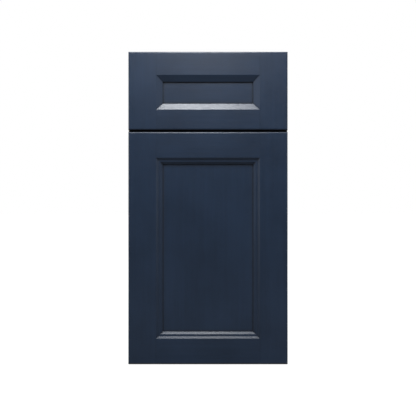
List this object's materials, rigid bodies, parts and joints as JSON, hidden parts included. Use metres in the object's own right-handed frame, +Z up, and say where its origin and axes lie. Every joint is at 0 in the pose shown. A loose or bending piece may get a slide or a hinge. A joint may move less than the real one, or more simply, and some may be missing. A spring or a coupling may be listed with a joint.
{
  "type": "bathroom vanity cabinet",
  "caption": "Wall-hung bathroom vanity cabinet, navy, one recessed-panel drawer over one recessed-panel door, with shelf, concealed hinges and ball-bearing slides.",
  "frame": {"origin": "bottom centre of the whole cabinet's box, on the carcass's underside", "axes": "+X to the right as seen facing the fronts, +Y from the fronts towards the wall, +Z up"},
  "size_m": [0.381, 0.533, 0.744],
  "materials": {
    "navy_paint": "satin navy paint over a fine open grain, edges eased",
    "birch": "clear-lacquered birch, pale banded edges",
    "plated_steel": "nickel-plated pressed steel, satin",
    "zinc": "zinc-plated steel and die-cast zinc, dull",
    "black_nylon": "moulded black nylon",
    "clear_bumper": "clear soft polyurethane"
  },
  "bodies": {
    "root": {"side_left": "navy_paint", "side_right": "navy_paint", "bottom_panel": "birch", "back_panel": "birch", "top_stretcher_front": "birch", "top_stretcher_back": "birch", "mid_rail": "birch", "hanging_rail_top": "birch", "hanging_rail_bottom": "birch", "shelf": "birch", "shelf_pins": "plated_steel", "cam_locks": "zinc", "cam_bolts": "zinc", "dowels": "birch", "hinge_plate_top": "plated_steel", "hinge_plate_bottom": "plated_steel", "hinge_arm_top": "plated_steel", "hinge_arm_bottom": "plated_steel", "hinge_arm_pins": "plated_steel", "hinge_screws": "plated_steel", "slide_outer_left": "zinc", "slide_outer_right": "zinc", "slide_screws_cabinet": "plated_steel"},
    "hinge_links": {"hinge_link_top": "plated_steel", "hinge_link_bottom": "plated_steel"},
    "door": {"door_stile_hinge": "navy_paint", "door_stile_free": "navy_paint", "door_rail_top": "navy_paint", "door_rail_bottom": "navy_paint", "door_panel": "navy_paint", "hinge_cup_top": "plated_steel", "hinge_cup_bottom": "plated_steel", "hinge_cup_pins": "plated_steel", "hinge_cup_screws": "plated_steel", "door_bumpers": "clear_bumper"},
    "drawer": {"drawer_stile_left": "navy_paint", "drawer_stile_right": "navy_paint", "drawer_rail_top": "navy_paint", "drawer_rail_bottom": "navy_paint", "drawer_panel": "navy_paint", "drawer_box_left": "birch", "drawer_box_right": "birch", "drawer_box_front": "birch", "drawer_box_back": "birch", "drawer_box_bottom": "birch", "drawer_front_screws": "plated_steel", "drawer_bumpers": "clear_bumper", "slide_inner_left": "zinc", "slide_inner_right": "zinc", "slide_levers": "black_nylon", "slide_screws_drawer": "plated_steel"},
    "slide_middles": {"slide_middle_left": "zinc", "slide_middle_right": "zinc"},
    "outer_ball_cages": {"ball_cage_outer_left": "plated_steel", "ball_cage_outer_right": "plated_steel"},
    "inner_ball_cages": {"ball_cage_inner_left": "plated_steel", "ball_cage_inner_right": "plated_steel"}
  },
  "joints": [
    {"name": "door_swing", "type": "hinge", "parent": "hinge_links", "child": "door", "pos_m": [-0.1785, -0.254, 0.27775], "axis": [0, 0, -1], "range_deg": [0, 137]},
    {"name": "hinge_link_swing", "type": "hinge", "parent": "root", "child": "hinge_links", "pos_m": [-0.155, -0.2445, 0.27775], "axis": [0, 0, 1], "range_deg": [0, 27]},
    {"name": "drawer_slide", "type": "slide", "parent": "root", "child": "drawer", "axis": [0, -1, 0], "range_m": [0, 0.35]},
    {"name": "slide_middle_travel", "type": "slide", "parent": "root", "child": "slide_middles", "axis": [0, -1, 0], "range_m": [0, 0.175]},
    {"name": "outer_cage_travel", "type": "slide", "parent": "root", "child": "outer_ball_cages", "axis": [0, -1, 0], "range_m": [0, 0.0875]},
    {"name": "inner_cage_travel", "type": "slide", "parent": "root", "child": "inner_ball_cages", "axis": [0, -1, 0], "range_m": [0, 0.2625]}
  ],
  "couplings": [
    {"joint": "hinge_link_swing", "follows": "door_swing", "ratio": 0.19708},
    {"joint": "slide_middle_travel", "follows": "drawer_slide", "ratio": 0.5},
    {"joint": "outer_cage_travel", "follows": "drawer_slide", "ratio": 0.25},
    {"joint": "inner_cage_travel", "follows": "drawer_slide", "ratio": 0.75}
  ]
}
